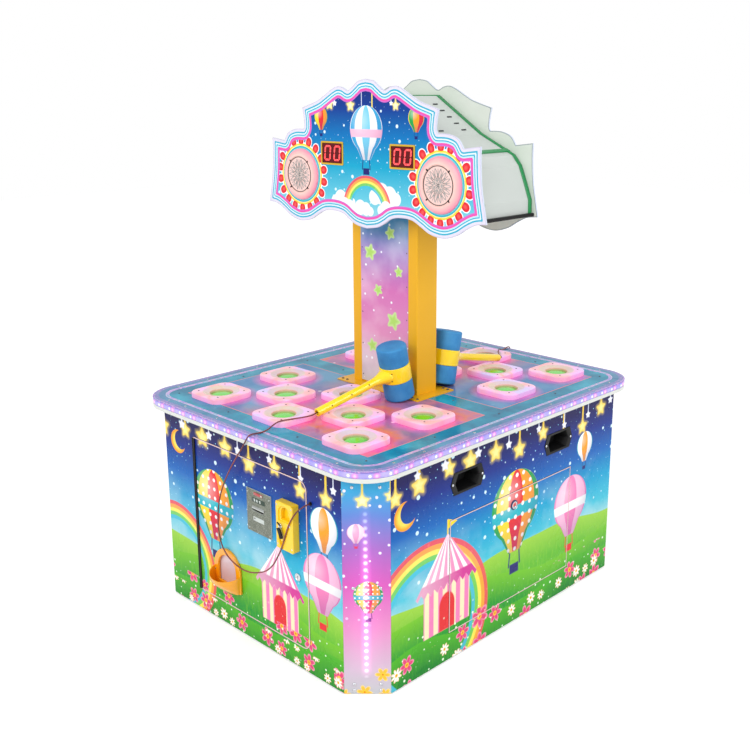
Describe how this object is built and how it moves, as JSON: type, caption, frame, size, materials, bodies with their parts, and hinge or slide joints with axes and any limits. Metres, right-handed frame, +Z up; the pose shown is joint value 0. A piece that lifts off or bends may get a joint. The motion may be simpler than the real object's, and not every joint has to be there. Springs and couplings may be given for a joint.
{
  "type": "mole pounding arcade machine",
  "caption": "Two-player mole pounding arcade machine: a cabinet with round holes and rising moles, foam hammers on cords, coin doors and a printed sign on a column.",
  "frame": {"origin": "on the floor under the middle of the cabinet", "axes": "+Z up, -Y towards the first player, +Y towards the second player, +X towards the service door"},
  "size_m": [1.145, 1.4906, 1.8],
  "materials": {
    "printed_panel": "board with a glossy printed face",
    "printed_door": "sheet steel with a glossy printed face",
    "dark_board": "black painted board",
    "lit_acrylic": "printed acrylic lit from behind",
    "white_board": "white edged board",
    "led_channel": "clear strip over small lights",
    "play_print": "printed sheet with moulded rings",
    "mole_green": "soft moulded cap",
    "tray_grey": "grey sheet steel",
    "column_yellow": "smooth paint",
    "sign_print": "printed acrylic",
    "casing_grey": "satin paint",
    "speaker_pink": "translucent dome",
    "display_black": "dark filter over red digits",
    "coin_steel": "hammered paint",
    "block_yellow": "glossy moulding",
    "outlet_orange": "glossy moulding",
    "flap_lilac": "translucent sheet",
    "lock_chrome": "bright plating",
    "hammer_yellow": "glossy moulding",
    "foam_blue": "foam under a soft vinyl skin",
    "cord_brown": "thin covered cable"
  },
  "bodies": {
    "cabinet": {"floor_board": "dark_board", "front_panel": "printed_panel", "back_panel": "printed_panel", "left_panel": "printed_panel", "right_panel": "printed_panel", "corner_light_front_right": "lit_acrylic", "corner_light_back_right": "lit_acrylic", "corner_light_back_left": "lit_acrylic", "corner_light_front_left": "lit_acrylic", "table_board": "white_board", "edge_light": "led_channel", "play_deck": "play_print", "mole_tray": "tray_grey", "column": "column_yellow", "column_light_front": "lit_acrylic", "column_light_back": "lit_acrylic", "sign_casing": "casing_grey", "sign_panel_front": "sign_print", "sign_panel_back": "sign_print", "score_display_front": "display_black", "score_display_back": "display_black", "speaker_front_left": "speaker_pink", "speaker_front_right": "speaker_pink", "speaker_back_left": "speaker_pink", "speaker_back_right": "speaker_pink", "cord_front": "cord_brown", "cord_back": "cord_brown"},
    "service_door": {"service_door": "printed_panel"},
    "coin_door_front": {"coin_door_front": "printed_door", "coin_plate_front": "coin_steel", "lock_block_front": "block_yellow", "prize_outlet_front": "outlet_orange"},
    "prize_flap_front": {"prize_flap_front": "flap_lilac"},
    "door_lock_front": {"door_lock_front": "lock_chrome"},
    "hammer_front": {"hammer_front": "hammer_yellow", "hammer_foam_front": "foam_blue"},
    "coin_door_back": {"coin_door_back": "printed_door", "coin_plate_back": "coin_steel", "lock_block_back": "block_yellow", "prize_outlet_back": "outlet_orange"},
    "prize_flap_back": {"prize_flap_back": "flap_lilac"},
    "door_lock_back": {"door_lock_back": "lock_chrome"},
    "hammer_back": {"hammer_back": "hammer_yellow", "hammer_foam_back": "foam_blue"},
    "mole_01": {"mole_01": "mole_green"},
    "mole_02": {"mole_02": "mole_green"},
    "mole_03": {"mole_03": "mole_green"},
    "mole_04": {"mole_04": "mole_green"},
    "mole_05": {"mole_05": "mole_green"},
    "mole_06": {"mole_06": "mole_green"},
    "mole_07": {"mole_07": "mole_green"},
    "mole_08": {"mole_08": "mole_green"},
    "mole_09": {"mole_09": "mole_green"},
    "mole_10": {"mole_10": "mole_green"},
    "mole_11": {"mole_11": "mole_green"},
    "mole_12": {"mole_12": "mole_green"},
    "mole_13": {"mole_13": "mole_green"},
    "mole_14": {"mole_14": "mole_green"},
    "mole_15": {"mole_15": "mole_green"},
    "mole_16": {"mole_16": "mole_green"}
  },
  "joints": [
    {"name": "coin_door_swing_front", "type": "hinge", "parent": "cabinet", "child": "coin_door_front", "pos_m": [-0.28175, -0.683, 0.36], "axis": [0, 0, -1], "range_deg": [0, 110]},
    {"name": "prize_flap_swing_front", "type": "hinge", "parent": "coin_door_front", "child": "prize_flap_front", "pos_m": [-0.11, -0.6782, 0.2675], "axis": [1, 0, 0], "range_deg": [0, 70]},
    {"name": "door_lock_turn_front", "type": "hinge", "parent": "coin_door_front", "child": "door_lock_front", "pos_m": [0.2504, -0.68, 0.317], "axis": [0, -1, 0], "range_deg": [0, 90]},
    {"name": "hammer_lift_front", "type": "slide", "parent": "cabinet", "child": "hammer_front", "axis": [0, 0, 1], "range_m": [0, 0.3], "deforming": ["cord_front"]},
    {"name": "coin_door_swing_back", "type": "hinge", "parent": "cabinet", "child": "coin_door_back", "pos_m": [0.28175, 0.683, 0.36], "axis": [0, 0, -1], "range_deg": [0, 110]},
    {"name": "prize_flap_swing_back", "type": "hinge", "parent": "coin_door_back", "child": "prize_flap_back", "pos_m": [0.11, 0.6782, 0.2675], "axis": [-1, 0, 0], "range_deg": [0, 70]},
    {"name": "door_lock_turn_back", "type": "hinge", "parent": "coin_door_back", "child": "door_lock_back", "pos_m": [-0.2504, 0.68, 0.317], "axis": [0, 1, 0], "range_deg": [0, 90]},
    {"name": "hammer_lift_back", "type": "slide", "parent": "cabinet", "child": "hammer_back", "axis": [0, 0, 1], "range_m": [0, 0.3], "deforming": ["cord_back"]},
    {"name": "service_door_tip", "type": "hinge", "parent": "cabinet", "child": "service_door", "pos_m": [0.55, 0, 0.0955], "axis": [0, 1, 0], "range_deg": [0, 90]},
    {"name": "mole_01_rise", "type": "slide", "parent": "cabinet", "child": "mole_01", "axis": [0, 0, 1], "range_m": [0, 0.045]},
    {"name": "mole_02_rise", "type": "slide", "parent": "cabinet", "child": "mole_02", "axis": [0, 0, 1], "range_m": [0, 0.045]},
    {"name": "mole_03_rise", "type": "slide", "parent": "cabinet", "child": "mole_03", "axis": [0, 0, 1], "range_m": [0, 0.045]},
    {"name": "mole_04_rise", "type": "slide", "parent": "cabinet", "child": "mole_04", "axis": [0, 0, 1], "range_m": [0, 0.045]},
    {"name": "mole_05_rise", "type": "slide", "parent": "cabinet", "child": "mole_05", "axis": [0, 0, 1], "range_m": [0, 0.045]},
    {"name": "mole_06_rise", "type": "slide", "parent": "cabinet", "child": "mole_06", "axis": [0, 0, 1], "range_m": [0, 0.045]},
    {"name": "mole_07_rise", "type": "slide", "parent": "cabinet", "child": "mole_07", "axis": [0, 0, 1], "range_m": [0, 0.045]},
    {"name": "mole_08_rise", "type": "slide", "parent": "cabinet", "child": "mole_08", "axis": [0, 0, 1], "range_m": [0, 0.045]},
    {"name": "mole_09_rise", "type": "slide", "parent": "cabinet", "child": "mole_09", "axis": [0, 0, 1], "range_m": [0, 0.045]},
    {"name": "mole_10_rise", "type": "slide", "parent": "cabinet", "child": "mole_10", "axis": [0, 0, 1], "range_m": [0, 0.045]},
    {"name": "mole_11_rise", "type": "slide", "parent": "cabinet", "child": "mole_11", "axis": [0, 0, 1], "range_m": [0, 0.045]},
    {"name": "mole_12_rise", "type": "slide", "parent": "cabinet", "child": "mole_12", "axis": [0, 0, 1], "range_m": [0, 0.045]},
    {"name": "mole_13_rise", "type": "slide", "parent": "cabinet", "child": "mole_13", "axis": [0, 0, 1], "range_m": [0, 0.045]},
    {"name": "mole_14_rise", "type": "slide", "parent": "cabinet", "child": "mole_14", "axis": [0, 0, 1], "range_m": [0, 0.045]},
    {"name": "mole_15_rise", "type": "slide", "parent": "cabinet", "child": "mole_15", "axis": [0, 0, 1], "range_m": [0, 0.045]},
    {"name": "mole_16_rise", "type": "slide", "parent": "cabinet", "child": "mole_16", "axis": [0, 0, 1], "range_m": [0, 0.045]}
  ]
}
